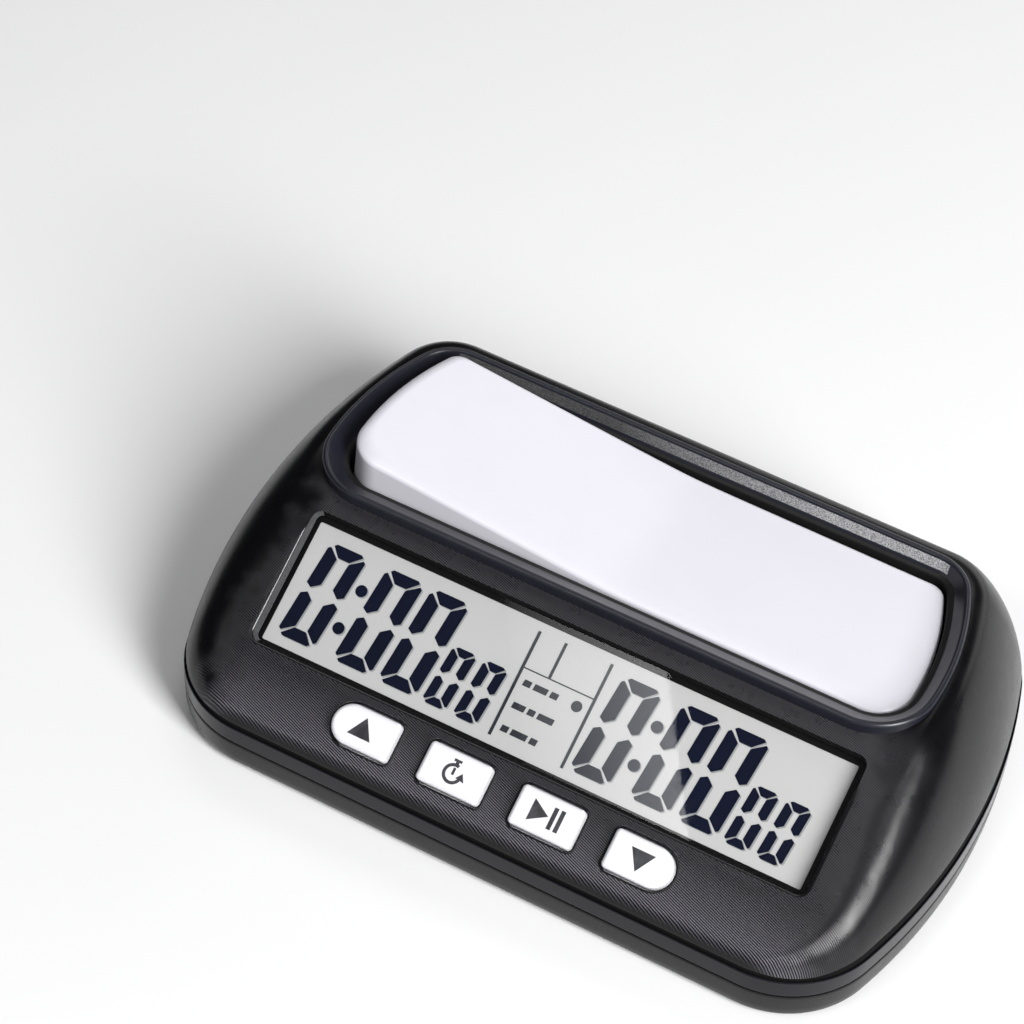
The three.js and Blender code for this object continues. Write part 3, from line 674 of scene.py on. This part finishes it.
SLOT_MATERIALS = {
    "housing_black": SATIN_BLACK,
    "rocker_white": ROCKER_WHITE,
    "key_white": KEY_WHITE,
    "lens_clear": CLEAR,
    "lcd_glass": LCD,
    "inner_black": INNER_BLACK,
    "component_black": COMPONENT,
    "plunger_white": PLUNGER,
    "conductive_rubber": RUBBER,
    "board_green": BOARD,
    "steel": STEEL,
    "rubber_black": RUBBER,
    "brass": BRASS,
    "cell_wrap": WRAP,
    "lead_red": RED,
    "lead_black": RUBBER,
    "ribbon_grey": RIBBON,
}
for entry in frame["record"]["subparts"]:
    node = frame["nodes"][entry["node"]]
    for socket in node.material_slots:
        socket.link = "OBJECT"
        socket.material = SLOT_MATERIALS[entry["material_slot"]]


# ---- Upper housing ----
def eased(count, power):
    """Shares from 0 to 1, closer together at the start."""
    return [(i / count) ** power for i in range(count + 1)]


SKIN, FLANGE, BEAD, INSIDE, EDGE, SHADED_GAP, LIT_SPECKS, LIT_WALL_FACE = range(8)
BEAD_RADIUS = 0.6
BEAD_END = 133  # degrees round the crest at which the inner slope starts
# Where the painted speckle highlight lies on the rim's rear inner slope
LIT_SPECKS_HALF_WIDTH = 46.5
LIT_SPECKS_ABOVE_LEDGE = 0.45
LIT_SPECKS_BELOW_RIM = 0.55
# Where the window's left wall takes the painted highlight
LEFT_WALL_X = (-52.0, -49.5)
LEFT_WALL_BACK_Y = -5.0
LEFT_WALL_LOW_Z = PART_Z + 5.0


def crest_at(degrees):
    """The rim's outline and height at an angle round its crest."""
    a = math.radians(degrees)
    return RIM.grow(-BEAD_RADIUS * (1 - math.cos(a))), RIM_Z - BEAD_RADIUS * (1 - math.sin(a))


def rim_rings():
    """From the outer foot of the rim, over its round crest, down the flat inner slope to the well."""
    crest = [ring(*crest_at(10 * i)) for i in range(1, 14)]
    top, top_z = crest_at(BEAD_END)
    slope = []
    for t in (0.0, 0.14, 0.2, 0.5, 0.8, 0.86):
        slope.append(ring(blended(top, LEDGE, t), top_z + (LEDGE_Z - top_z) * t))
    edge = []
    for t, drop in ((0.0, 0.03), (0.2, 0.12), (0.45, 0.22), (0.7, 0.32), (0.9, 0.45)):
        edge.append(ring(blended(LEDGE, WELL, t), LEDGE_Z - drop))
    return crest, slope, edge + [ring(WELL, WELL_Z)]


def key_u(i):
    """Place of a key's centre along the panel."""
    return (i - (len(KEYS) - 1) / 2) * KEY_PITCH


def key_radii(i):
    """Left and right corner radii: the outer ends of the row are round."""
    small, round_end = 0.8, KEY_HEIGHT / 2
    return (round_end if i == 0 else small, round_end if i == len(KEYS) - 1 else small)


def upper_housing():
    """The textured shell with its rim, well, display window and key openings."""
    z = UPPER_LOW[2]
    flange = [
        ring(HOUSING.grow(-0.5), z),
        ring(HOUSING.grow(-0.14), z + 0.02),
        ring(HOUSING.grow(-0.04), z + 0.1),
        ring(HOUSING, z + 0.25),
        ring(HOUSING, CREASE_Z - 0.3),
        ring(HOUSING.grow(-0.03), CREASE_Z - 0.14),
        ring(HOUSING.grow(-0.1), CREASE_Z - 0.04),
        ring(HOUSING.grow(-0.2), CREASE_Z),
    ]
    # The groove under the crease carries painted shade
    groove = [ring(HOUSING.grow(-0.3), CREASE_Z - 0.08), ring(HOUSING.grow(-0.4), CREASE_Z - 0.14)]
    skin = skin_rings(HOUSING.grow(-CREASE_IN - 0.25), RIM, eased(56, 1.7))
    crest, slope, edge = rim_rings()
    inner = HOUSING.grow(-WALL - 0.2)
    well_out = WELL.grow(1.3)
    inside = [
        ring(WELL, WELL_BOTTOM_Z),
        ring(well_out, WELL_BOTTOM_Z),
        *skin_rings(well_out, inner, [0, 0.15, 0.3, 0.5, 0.68, 0.84, 0.95, 0.98, 1], WALL),
        ring(inner, z),
    ]
    bands = [
        (flange, FLANGE),
        (groove, SHADED_GAP),
        (skin[:-1], SKIN),
        (skin[-1:] + crest, BEAD),
        (slope, BEAD),
        (edge, INSIDE),
        (inside, INSIDE),
    ]
    tones = [TEXTURED, SATIN_BLACK, BEAD_BLACK, INNER_BLACK, EDGE_BLACK, GAP_SHADE_BLACK, SPECKLED_HIGHLIGHT, LIT_WALL_GREY]
    obj = shell_object("housing_upper", [loft(bands, closed=True)], tones)
    # Faces of the rim's rear inner slope take the painted speckle highlight
    for polygon in obj.data.polygons:
        x, y, height = (c * MM for c in polygon.center)
        on_slope = LEDGE_Z + LIT_SPECKS_ABOVE_LEDGE < height < RIM_Z - LIT_SPECKS_BELOW_RIM
        at_back = y > LEDGE.back_y and abs(x) < LIT_SPECKS_HALF_WIDTH
        if polygon.material_index == BEAD and on_slope and at_back:
            polygon.material_index = LIT_SPECKS
    wall_profile = [(1.3, -1.0), (2.7, -0.3)]
    edge_profile = [(2.74, -0.27), (2.84, -0.18), (2.92, -0.04), (2.98, 0.14), (3.03, 0.4), (4.0, 4.0)]
    # The window's walls carry painted shade
    window_bands = []
    for profile, tone in ((wall_profile, SHADED_GAP), (edge_profile, EDGE)):
        opening = (*WINDOW_CENTRE, *WINDOW_SIZE, WINDOW_RADII)
        window_bands.append(([rounded_rect(*opening, w, grow) for w, grow in profile], tone))
    window = loft(window_bands)
    seat_rings = [rounded_rect(*WINDOW_CENTRE, *SEAT_SIZE, WINDOW_RADII, w) for w in (-1.5, 1.6)]
    seat = loft([(seat_rings, INSIDE)])
    cutters = [(window, PANEL), (seat, PANEL)]
    hole_profile = [(-2.0, 0.3), (2.62, 0.3), (2.78, 0.34), (2.88, 0.42)]
    hole_profile += [(2.96, 0.56), (3.1, 1.0), (4.0, 4.0)]
    for i in range(len(KEYS)):
        size = (key_u(i), KEY_V, KEY_WIDTH, KEY_HEIGHT, key_radii(i))
        rings = [rounded_rect(*size, w, grow) for w, grow in hole_profile]
        cutters.append((loft([(rings, EDGE)]), PANEL))
    carve(obj, cutters)
    # The window's left wall gets the painted highlight instead of the painted shade
    for polygon in obj.data.polygons:
        x, y, height = (c * MM for c in polygon.center)
        on_left_wall = LEFT_WALL_X[0] < x < LEFT_WALL_X[1] and height > LEFT_WALL_LOW_Z
        if polygon.material_index == SHADED_GAP and on_left_wall and y < LEFT_WALL_BACK_Y:
            polygon.material_index = LIT_WALL_FACE
    return settle(obj, "case", stands_for=["upper_housing"])


# ---- Lower housing ----
BELOW_Z = -1.0  # cutters start under the floor and end behind the back
BEHIND_Y = 50.0
DOOR_TONGUE = 1.3
DOOR_GAP = 0.3
TRACK_REACH = 1.7  # how far the track runs past the door's plate on each side
DOOR_ROOM_Z = 2.6
TRACK_Z = 1.3


def recess(node, radius, depth):
    """Cutter for a round recess in the floor, under the middle of a node."""
    low, high = box_mm(node)
    profile = [(radius, BELOW_Z), (radius, depth)]
    return turned((low[0] + high[0]) / 2, (low[1] + high[1]) / 2, profile, tone=1), None


def lower_housing():
    """The band under the parting line with its floor, the door's opening and the cell's bay."""
    shell_top = PART_Z - 0.15
    inner = HOUSING.grow(-WALL)
    outside = [
        ring(HOUSING.grow(-1.5), BOTTOM_Z),
        ring(HOUSING.grow(-1.0), BOTTOM_Z + 0.12),
        ring(HOUSING.grow(-0.6), BOTTOM_Z + 0.45),
        ring(HOUSING.grow(-0.3), BOTTOM_Z + 1.1),
        ring(HOUSING.grow(-0.12), BOTTOM_Z + 2.6),
        ring(HOUSING, shell_top - 0.6),
        ring(HOUSING.grow(-0.02), shell_top - 0.2),
    ]
    # The lip at the parting line carries painted shade
    lip = [ring(HOUSING.grow(-0.1), shell_top - 0.06), ring(HOUSING.grow(-0.25), shell_top)]
    inside = [ring(inner, shell_top), ring(inner.grow(-0.8), BOTTOM_Z + 2.4)]
    tones = [LOWER_BLACK, INNER_BLACK, GAP_SHADE_BLACK]
    obj = shell_object("housing_lower", [loft([(outside, 0), (lip, 2), (inside, 1)])], tones)
    door = DOOR_HIGH[0] - DOOR_TONGUE
    opening, track = door + DOOR_GAP, door + TRACK_REACH
    front = DOOR_LOW[1] - DOOR_GAP
    cutters = [
        (block(-opening, opening, front, BEHIND_Y, BELOW_Z, DOOR_ROOM_Z, 1), None),
        (block(-track, track, front, BEHIND_Y, TRACK_Z, DOOR_ROOM_Z, 1), None),
        (block(-opening, opening, DOOR_STOP_Y, BEHIND_Y, BELOW_Z, PART_Z + 1, 1), None),
        (block(*BAY_X, CELL_LOW[1] - 0.4, CELL_HIGH[1] + 0.4, BELOW_Z, PART_Z, 1), None),
    ]
    for name in frame["nodes"]:
        if name.startswith("foot_"):
            cutters.append(recess(name, *FOOT_RECESS))
        if name.startswith("housing_screw_"):
            cutters.append(recess(name, *SCREW_RECESS))
    carve(obj, cutters)
    return settle(obj, "case", stands_for=["lower_housing"])


# ---- Rocker ----
def vee(plan, drop, soften=4.0):
    """Ring whose height follows the rocker's shallow V, lowered by drop."""
    rings = []
    for x, y in plan.loop():
        rise = ROCKER_VEE * (math.sqrt(x * x + soften * soften) - soften * 0.6)
        rings.append((x, y, ROCKER_Z + rise - drop))
    return rings


def rocker():
    """The hollow white lever, tilted as it rests in the frame."""
    rings = [
        ring(ROCKER_BASE.grow(-0.25), ROCKER_BOTTOM_Z),
        ring(ROCKER_BASE, ROCKER_BOTTOM_Z + 0.3),
        vee(ROCKER_BASE.grow(-0.1), ROCKER_WALL_DROP),
    ]
    for i in range(17):
        a = math.pi / 2 * i / 16
        outline = blended(ROCKER_RIDGE, ROCKER_TOP, 1 - math.cos(a))
        rings.append(vee(outline, ROCKER_EDGE * (1 - math.sin(a))))
    skin = loft([(rings, 0)])
    to_pivot = Matrix.Translation((0, 0, PIVOT_Z))
    turn = to_pivot @ Matrix.Rotation(ROCKER_TILT, 4, "Y") @ to_pivot.inverted()
    obj = shell_object("rocker_lever", [close_top(skin, len(rings[0]))], [ROCKER_WHITE], turn)
    hollow_rings = [
        ring(ROCKER_BASE.grow(-2), ROCKER_BOTTOM_Z - 1),
        vee(ROCKER_BASE.grow(-2.2), ROCKER_WALL_DROP - 0.3),
        vee(ROCKER_TOP.grow(-0.8), 2.6),
    ]
    carve(obj, [(loft([(hollow_rings, 0)]), turn)])
    return settle(obj, "rocker", 40, stands_for=["rocker"])


def close_top(shape, count):
    """Swaps a loft's upper cap for strips that run from the loop's front to its back."""
    points, faces, index = shape
    last = len(points) - count
    faces.pop()
    index.pop()
    half = count // 2
    for i in range(half // 2):
        right = [i, i + 1, half - i - 1, half - i]
        left = [(count - k) % count for k in reversed(right)]
        for corners in (right, left):
            faces.append(tuple(dict.fromkeys(last + k for k in corners)))
            index.append(0)
    return points, faces, index


# ---- Keys ----
def key_cap(i, name):
    """A key's cap with its hidden flange and rounded upper edge."""
    def outline(w, grow):
        return rounded_rect(key_u(i), KEY_V, KEY_WIDTH, KEY_HEIGHT, key_radii(i), w, grow, steps=12)

    rings = [
        outline(0.0, KEY_FLANGE),
        outline(KEY_FLANGE_TOP, KEY_FLANGE),
        outline(KEY_FLANGE_TOP, 0.0),
        outline(KEY_TOP - KEY_EDGE, -KEY_DRAFT),
    ]
    for step in range(1, 8):
        a = math.pi / 2 * step / 7
        w = KEY_TOP - KEY_EDGE * (1 - math.sin(a))
        rings.append(outline(w, -KEY_DRAFT - KEY_EDGE * (1 - math.cos(a))))
    obj = shell_object("keycap_" + name, [loft([(rings, 0)])], [KEY_WHITE], PANEL)
    return settle(obj, "key_" + name, 40, stands_for=["key_" + name])


def polygon_arc(u, v, radius, a0, a1, steps=24):
    angles = [a0 + (a1 - a0) * i / steps for i in range(steps + 1)]
    return [(u + radius * math.cos(a), v + radius * math.sin(a)) for a in angles]


def dot(u, v, radius, sides=32):
    return polygon_arc(u, v, radius, 0, 2 * math.pi * (sides - 1) / sides, sides - 1)


def band(u, v, radius, width, a0, a1):
    """A stroke of even width along an arc."""
    outer = polygon_arc(u, v, radius + width / 2, a0, a1)
    return outer + polygon_arc(u, v, radius - width / 2, a1, a0)


def bar(u0, v0, u1, v1):
    return [(u0, v0), (u1, v0), (u1, v1), (u0, v1)]


def icon(name):
    """Outlines of a key's symbol, measured from the key's centre."""
    if name == "up":
        return [[(-2.15, -1.55), (2.15, -1.55), (0, 2.0)]]
    if name == "down":
        return [[(-2.15, 1.55), (0, -2.0), (2.15, 1.55)]]
    if name == "play":
        play = [(-2.75, -1.9), (0.45, 0), (-2.75, 1.9)]
        return [play, bar(0.85, -1.9, 1.6, 1.9), bar(2.1, -1.9, 2.85, 1.9)]
    dial = band(0, -0.3, 1.5, 0.55, math.radians(70), math.radians(340))
    head = [(0.75, -0.75), (2.35, -1.0), (1.6, 0.35)]
    knob = bar(-0.7, 1.75, 0.7, 2.2)
    stem = bar(-0.3, 1.35, 0.3, 1.8)
    hand = [(-0.22, -0.5), (0.22, -0.5), (0.22, 0.75), (-0.22, 0.75)]
    return [dial, head, knob, stem, hand]


def key_icon(i, name):
    """The symbol printed on a key, as a thin plate on the cap."""
    shapes = [[(u + key_u(i), v + KEY_V) for u, v in outline] for outline in icon(name)]
    print_plate = plates(shapes, KEY_TOP + 0.005, KEY_TOP + 0.03)
    obj = shell_object("icon_" + name, [print_plate], [PRINT], PANEL)
    return settle(obj, "key_" + name)


# ---- Display ----
SLANT = math.tan(math.radians(5.1))
DIGIT_TOP = 8.65
DIGIT_BOTTOM = -9.15
BIG_DIGITS = (0, 10.95, 19.6)  # left edges, from the start of a player's time
SMALL_DIGITS = (28.0, 33.85)
COLON_U = 9.15
COLON_V = (3.15, -4.1)
TIME_STARTS = (("left", -48.45), ("right", 7.2))
ART_W = 0.02  # the printed art lies just above the display glass


def slanted(points, u, v):
    """Moves points, measured from a digit's lower left corner, to their place and leans them."""
    return [(u + x + (v + y - DIGIT_BOTTOM) * SLANT, v + y) for x, y in points]


def digit_zero(u, v, width, height, stroke, gap=0.16):
    """Seven-segment nought: six strokes with mitred ends. u and v are its lower left corner."""
    mid = height / 2
    corner = stroke * 0.3
    top = [
        (corner + gap + 0.35, height),
        (width - corner - gap - 0.35, height),
        (width - gap - corner * 0.9, height - corner * 0.55),
        (width - stroke - gap * 0.4, height - stroke * 0.86),
        (stroke + gap * 0.4, height - stroke * 0.86),
        (corner * 0.9 + gap, height - corner * 0.55),
    ]
    upper_left = [
        (0, height - corner * 1.6),
        (corner * 0.6, height - corner * 1.1),
        (stroke, height - stroke * 0.98),
        (stroke, mid + stroke * 0.62),
        (stroke * 0.42, mid + stroke * 0.17),
        (0, mid + stroke * 0.42),
    ]
    upper_right = [(width - x, y) for x, y in upper_left]
    upper = [top, upper_left, upper_right]
    lower = [[(x, height - y) for x, y in part] for part in upper]
    return [anticlockwise(slanted(part, u, v)) for part in upper + lower]


def anticlockwise(points):
    area = sum(a[0] * b[1] - b[0] * a[1] for a, b in zip(points, points[1:] + points[:1]))
    return points if area > 0 else list(reversed(points))


def clock_digits(start):
    """One player's time: one digit, colon, two digits and two small digits."""
    shapes = []
    for offset in BIG_DIGITS:
        shapes += digit_zero(start + offset, DIGIT_BOTTOM, 7.2, DIGIT_TOP - DIGIT_BOTTOM, 2.45)
    for offset in SMALL_DIGITS:
        shapes += digit_zero(start + offset, DIGIT_BOTTOM, 4.5, 10.6, 1.65, 0.12)
    for v in COLON_V:
        shapes.append(dot(start + COLON_U + (v - DIGIT_BOTTOM) * SLANT, v, 1.05))
    return shapes


def display_marks():
    """The lines between the two times, three rows of plain dashes and the dot beside a row."""
    lines = [
        bar(-7.63, -9.5, -7.07, 9.5),
        bar(-2.7, 3.1, -2.17, 9.5),
        bar(5.83, -9.5, 6.37, 9.5),
        bar(-7.1, 2.85, 5.9, 3.08),
    ]
    marks = [dot(3.85, 0.7, 0.95)]
    for v, lengths in ((0.7, (1.5, 2.6, 1.5)), (-3.4, (2.4, 1.4, 3.0)), (-7.6, (1.4, 3.0, 1.4))):
        u = -6.2
        for length in lengths:
            low = [(u + 0.1, v - 0.55), (u + length, v - 0.55)]
            high = [(u + length + 0.1, v + 0.55), (u + 0.2, v + 0.55)]
            marks.append(low + high)
            u += length + 0.45
    return lines + marks


def display_layer(name, outlines, low, high, material):
    """Flat plates on the display glass: printed art, or the digits' painted shadows."""
    settle(shell_object(name, [plates(outlines, low, high)], [material], PANEL), "case")


def display():
    """Digits with their faint shadows, the marks between them and the black mask round the glass."""
    for side, start in TIME_STARTS:
        digits = clock_digits(start)
        # Painted shadows: grey copies of the digits, moved to the lower right
        shadows = [[(u + 0.3, v - 0.12) for u, v in outline] for outline in digits]
        display_layer("segment_shadows_" + side, shadows, ART_W - 0.012, ART_W - 0.002, SHADE_GREY)
        display_layer("segments_" + side, digits, ART_W, ART_W + 0.02, SEGMENT_NAVY)
    display_layer("display_marks", display_marks(), ART_W, ART_W + 0.02, MARK_GREY)
    outer = [rounded_rect(*WINDOW_CENTRE, *MASK_SIZE, (1, 1), w) for w in (0.06, 0.2)]
    inner = [rounded_rect(0.0, 0.0, *VIEW_SIZE, (0.3, 0.3), w) for w in (0.2, 0.06)]
    mask = shell_object("display_mask", [loft([(outer + inner, 0)], closed=True)], [MASK_BLACK], PANEL)
    settle(mask, "case")


upper_housing()
lower_housing()
rocker()
for number, key in enumerate(KEYS):
    key_cap(number, key)
    key_icon(number, key)
display()


# ---- Stage ----
CAMERA_PLACE = (0.1476, -0.338, 0.4785)
CAMERA_ANGLES = (40.553, -2.247, 28.943)
FLOOR_HALF = 3
MIDDLE = (0, 0, 0.02)


def mirrored(u, v, distance):
    """The place in metres that the camera sees mirrored in the display window at (u, v)."""
    eye = PANEL.inverted() @ (Vector(CAMERA_PLACE) * MM)
    eye.z = 2 * WINDOW_W - eye.z
    point = Vector((u, v, WINDOW_W))
    return (PANEL @ (point + (point - eye).normalized() * distance * MM)) / MM


def glow_card(name, corner, along, up, strength):
    """A glowing slanted card that fades towards its first corner; the places are in metres."""
    x, side = along - corner, up - corner
    length = x.length
    x = x.normalized()
    lean = side.dot(x)
    y = side - x * lean
    height = y.length
    y = y.normalized()
    n = Nodes(name)
    across = n.add("VectorMath", operation="DOT_PRODUCT")
    across.inputs[1].default_value = (1 / length, -lean / (height * length), 0)
    n.link(n.coordinates, across.inputs[0])
    emission = n.add("Emission")
    ramp = n.span(across.outputs["Value"], strength * 0.1, strength, 0.0, 1.0)
    n.link(ramp, emission.inputs["Strength"])
    n.link(emission.outputs["Emission"], n.output.inputs["Surface"])
    mesh = bpy.data.meshes.new(name)
    outline = [(0, 0, 0), (length, 0, 0), (length + lean, height, 0), (lean, height, 0)]
    mesh.from_pydata(outline, [], [(0, 1, 2, 3)])
    mesh.materials.append(n.material)
    obj = bpy.data.objects.new(name, mesh)
    matrix = Matrix((x, y, x.cross(y))).transposed().to_4x4()
    matrix.translation = corner
    obj.matrix_world = matrix
    bpy.context.scene.collection.objects.link(obj)


def softbox(name, location, size, power):
    """A soft rectangular light, in metres and watts, that faces the clock."""
    light = bpy.data.lights.new(name, "AREA")
    light.shape = "RECTANGLE"
    light.size, light.size_y = size
    light.energy = power
    obj = bpy.data.objects.new(name, light)
    obj.location = location
    obj.rotation_euler = (Vector(location) - Vector(MIDDLE)).to_track_quat("Z", "Y").to_euler()
    bpy.context.scene.collection.objects.link(obj)


def around(azimuth, elevation, distance):
    """A place seen from the middle: azimuth 0 is in front, 90 to the right."""
    a, e = math.radians(azimuth), math.radians(elevation)
    level = math.cos(e) * distance
    return (math.sin(a) * level, -math.cos(a) * level, math.sin(e) * distance)


FLOOR_WHITE = moulded(
    "floor", (0.79, 0.79, 0.792), (0.81, 0.81, 0.812),
    (0.6, 0.7), 0.4, 0.004, patch=0.01,
)
floor = bpy.data.meshes.new("floor")
corners = [(x * FLOOR_HALF, y * FLOOR_HALF, 0) for x, y in ((-1, -1), (1, -1), (1, 1), (-1, 1))]
floor.from_pydata(corners, [], [(0, 1, 2, 3)])
floor.materials.append(FLOOR_WHITE)
floor_object = bpy.data.objects.new("floor", floor)
bpy.context.scene.collection.objects.link(floor_object)

world = bpy.data.worlds.new("studio")
bpy.context.scene.world = world
world.use_nodes = True
backdrop = world.node_tree.nodes["Background"]
backdrop.inputs["Color"].default_value = (0.93, 0.95, 1.0, 1)
# The lights do the lighting: the backdrop is pale to the camera and faint to the surfaces
seen = world.node_tree.nodes.new("ShaderNodeMapRange")
seen.inputs["To Min"].default_value = 0.07
seen.inputs["To Max"].default_value = 0.85
light_path = world.node_tree.nodes.new("ShaderNodeLightPath")
world.node_tree.links.new(light_path.outputs["Is Camera Ray"], seen.inputs["Value"])
world.node_tree.links.new(seen.outputs["Result"], backdrop.inputs["Strength"])

softbox("key", around(64, 36, 1.2), (0.38, 0.74), 23.5)
softbox("top", around(40, 84, 1.2), (0.6, 0.6), 0.9)
softbox("rear", around(-158, 56, 1.2), (0.6, 0.35), 1.6)
softbox("back", around(165, 14, 1.3), (1.4, 0.55), 4.2)
softbox("front", around(-20, 53, 1.2), (0.4, 0.2), 2.2)
# A card that the display window mirrors towards the camera, with a straight leaning edge
CARD_DISTANCE = 0.9
card_corners = [mirrored(u, v, CARD_DISTANCE) for u, v in ((3.6, -16), (33.6, -16), (-17.7, 16))]
glow_card("glare", *card_corners, 5.5)

camera_data = bpy.data.cameras.new("camera")
camera_data.lens = 123.4
camera_data.sensor_width = 36
camera_data.clip_start = 0.01
camera = bpy.data.objects.new("camera", camera_data)
camera.location = CAMERA_PLACE
camera.rotation_euler = [math.radians(a) for a in CAMERA_ANGLES]
bpy.context.scene.collection.objects.link(camera)
bpy.context.scene.camera = camera
bpy.context.scene.view_settings.view_transform = "Standard"
